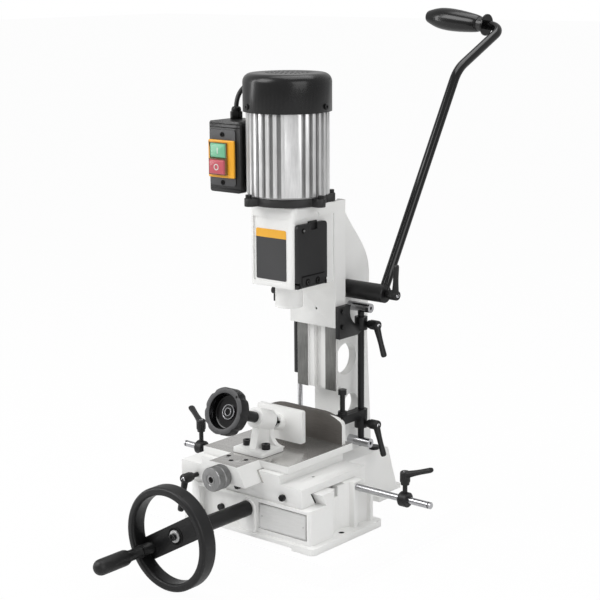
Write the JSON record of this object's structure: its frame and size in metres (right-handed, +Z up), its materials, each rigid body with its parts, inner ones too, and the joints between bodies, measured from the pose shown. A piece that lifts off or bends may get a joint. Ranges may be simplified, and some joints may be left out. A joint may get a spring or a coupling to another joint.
{
  "type": "hollow chisel mortiser",
  "caption": "Benchtop hollow chisel mortiser: motor head on a dovetail column with a feed lever, over a clamping table on cross slides.",
  "frame": {"origin": "at bench level, midway between the base's two bench bolt holes", "axes": "+Z up, -Y towards the handwheel and the person using it, +X towards the feed lever"},
  "size_m": [0.4947, 0.8097, 0.7823],
  "materials": {
    "white_paint": "satin white enamel on cast iron",
    "black_paint": "satin black paint",
    "black_plastic": "moulded, slight gloss",
    "matte_black": "moulded, matte",
    "motor_aluminium": "die cast, light silver paint",
    "machined_iron": "ground flat",
    "dark_fence": "dark grey paint",
    "steel": "turned",
    "bright_steel": "polished",
    "bronze": "plain",
    "yellow_panel": "plain panel",
    "green_button": "moulded",
    "red_button": "moulded",
    "plate_grey": "bare plate",
    "lead_rubber": "smooth"
  },
  "bodies": {
    "frame": {"base_casting": "white_paint", "name_plate": "plate_grey", "column_casting": "white_paint", "base_screws": "black_paint", "depth_rod": "black_paint", "rod_standoffs": "bright_steel", "travel_stop_rod": "steel", "shaft_sleeve": "black_paint", "gas_spring_rod": "bright_steel"},
    "wheel": {"pinion_shaft": "steel", "handwheel": "black_paint", "wheel_bolts": "steel"},
    "wheel_spinner": {"wheel_grip": "black_plastic"},
    "saddle": {"saddle": "white_paint", "gib_strips": "machined_iron", "saddle_screws": "black_paint", "cross_rack": "steel", "feed_nut": "bronze"},
    "saddle_lock": {"saddle_lever": "black_paint"},
    "table": {"table": "machined_iron", "table_screws": "black_paint", "fence": "dark_fence", "clamp_bracket": "white_paint"},
    "cross_feed": {"feed_screw": "steel", "feed_dial": "steel"},
    "clamp_face": {"clamp_pad": "white_paint"},
    "clamp_turn": {"clamp_screw": "black_paint", "clamp_knob": "black_plastic"},
    "head": {"head_casting": "white_paint", "motor_body": "motor_aluminium", "stator": "steel", "fan_cover": "black_plastic", "motor_flange": "black_paint", "head_fasteners": "black_paint", "switch_box": "matte_black", "switch_panel": "yellow_panel", "lead_gland": "matte_black", "motor_lead": "lead_rubber", "head_rack": "steel", "stop_bracket": "black_paint", "chisel_bush": "steel", "gas_spring_cylinder": "black_paint"},
    "rotor": {"spindle": "steel", "cooling_fan": "matte_black"},
    "cover": {"side_cover": "black_paint"},
    "start": {"start_button": "green_button"},
    "stop": {"stop_button": "red_button"},
    "bracket_lock": {"bracket_lever": "black_paint"},
    "feed_lever": {"feed_pinion": "steel", "feed_hub": "black_paint", "feed_arm": "black_paint"},
    "feed_grip": {"feed_handle": "black_plastic"},
    "hub_lock": {"hub_lever": "black_paint"},
    "depth_stop": {"stop_block": "black_paint"},
    "depth_screw": {"stop_bolt": "black_paint"},
    "stop_lock": {"stop_lever": "black_paint"},
    "left_stop": {"left_travel_collar": "black_paint"},
    "left_lock": {"left_travel_lever": "black_paint"},
    "right_stop": {"right_travel_collar": "black_paint"},
    "right_lock": {"right_travel_lever": "black_paint"}
  },
  "joints": [
    {"name": "wheel_turn", "type": "hinge", "parent": "frame", "child": "wheel", "pos_m": [0, -0.237, 0.044], "axis": [0, 1, 0], "range_deg": [-159.1, 190.9]},
    {"name": "spinner_turn", "type": "hinge", "parent": "wheel", "child": "wheel_spinner", "pos_m": [-0.0485, -0.29, 0.016], "axis": [0, 1, 0], "continuous": true},
    {"name": "saddle_slide", "type": "slide", "parent": "frame", "child": "saddle", "axis": [1, 0, 0], "range_m": [-0.0502, 0.0602]},
    {"name": "saddle_lock_turn", "type": "hinge", "parent": "saddle", "child": "saddle_lock", "pos_m": [-0.104, -0.0734, 0.073], "axis": [0, -1, 0], "range_deg": [-60, 30]},
    {"name": "table_slide", "type": "slide", "parent": "saddle", "child": "table", "axis": [0, 1, 0], "range_m": [-0.04, 0.01]},
    {"name": "cross_feed_turn", "type": "hinge", "parent": "table", "child": "cross_feed", "pos_m": [-0.018, -0.12, 0.098], "axis": [0, 1, 0], "range_deg": [-2894, 734]},
    {"name": "clamp_face_slide", "type": "slide", "parent": "table", "child": "clamp_face", "axis": [0, 0.9397, -0.342], "range_m": [-0.007, 0.015]},
    {"name": "clamp_turn", "type": "hinge", "parent": "clamp_face", "child": "clamp_turn", "pos_m": [-0.018, -0.023, 0.164], "axis": [0, 0.9397, -0.342], "range_deg": [-640, 1368]},
    {"name": "head_slide", "type": "slide", "parent": "frame", "child": "head", "axis": [0, 0, 1], "range_m": [-0.0661, 0], "stiffness_N_per_m": 1200, "springref_m": 0.25},
    {"name": "spindle_turn", "type": "hinge", "parent": "head", "child": "rotor", "pos_m": [-0.014, 0.037, 0.5], "axis": [0, 0, 1], "continuous": true},
    {"name": "cover_open", "type": "hinge", "parent": "head", "child": "cover", "pos_m": [0.0312, 0.037, 0.364], "axis": [0, 1, 0], "range_deg": [0, 120]},
    {"name": "start_press", "type": "slide", "parent": "head", "child": "start", "axis": [0, 1, 0], "range_m": [0, 0.003], "stiffness_N_per_m": 400, "springref_m": -0.002},
    {"name": "stop_press", "type": "slide", "parent": "head", "child": "stop", "axis": [0, 1, 0], "range_m": [0, 0.003], "stiffness_N_per_m": 400, "springref_m": -0.002},
    {"name": "bracket_lock_turn", "type": "hinge", "parent": "head", "child": "bracket_lock", "pos_m": [0.044, 0.15, 0.286], "axis": [1, 0, 0], "range_deg": [-50, 50]},
    {"name": "feed_lever_turn", "type": "hinge", "parent": "frame", "child": "feed_lever", "pos_m": [0.04, 0.138, 0.34], "axis": [1, 0, 0], "range_deg": [0, 135]},
    {"name": "feed_grip_turn", "type": "hinge", "parent": "feed_lever", "child": "feed_grip", "pos_m": [0.084, 0.455, 0.722], "axis": [0.9945, 0, -0.1045], "continuous": true},
    {"name": "hub_lock_turn", "type": "hinge", "parent": "feed_lever", "child": "hub_lock", "pos_m": [0.091, 0.138, 0.34], "axis": [1, 0, 0], "range_deg": [-60, 60]},
    {"name": "depth_stop_slide", "type": "slide", "parent": "frame", "child": "depth_stop", "axis": [0, 0, 1], "range_m": [-0.015, 0]},
    {"name": "depth_screw_turn", "type": "hinge", "parent": "depth_stop", "child": "depth_screw", "pos_m": [0.034, 0.104, 0.16], "axis": [0, 0, 1], "range_deg": [-180, 180]},
    {"name": "stop_lock_turn", "type": "hinge", "parent": "depth_stop", "child": "stop_lock", "pos_m": [0.044, 0.15, 0.129], "axis": [1, 0, 0], "range_deg": [-50, 50]},
    {"name": "left_stop_slide", "type": "slide", "parent": "frame", "child": "left_stop", "axis": [1, 0, 0], "range_m": [-0.02, 0]},
    {"name": "left_lock_turn", "type": "hinge", "parent": "left_stop", "child": "left_lock", "pos_m": [-0.196, 0.033, 0.0825], "axis": [0, 0, 1], "range_deg": [-60, 60]},
    {"name": "right_stop_slide", "type": "slide", "parent": "frame", "child": "right_stop", "axis": [1, 0, 0], "range_m": [0, 0.03]},
    {"name": "right_lock_turn", "type": "hinge", "parent": "right_stop", "child": "right_lock", "pos_m": [0.204, 0.033, 0.0825], "axis": [0, 0, 1], "range_deg": [-60, 60]}
  ],
  "couplings": [
    {"joint": "saddle_slide", "follows": "wheel_turn", "m_per_rad": 0.018},
    {"joint": "cross_feed_turn", "follows": "table_slide", "rad_per_m": 1256.6},
    {"joint": "clamp_turn", "follows": "clamp_face_slide", "rad_per_m": 1570.8},
    {"joint": "head_slide", "follows": "feed_lever_turn", "m_per_rad": -0.028}
  ]
}
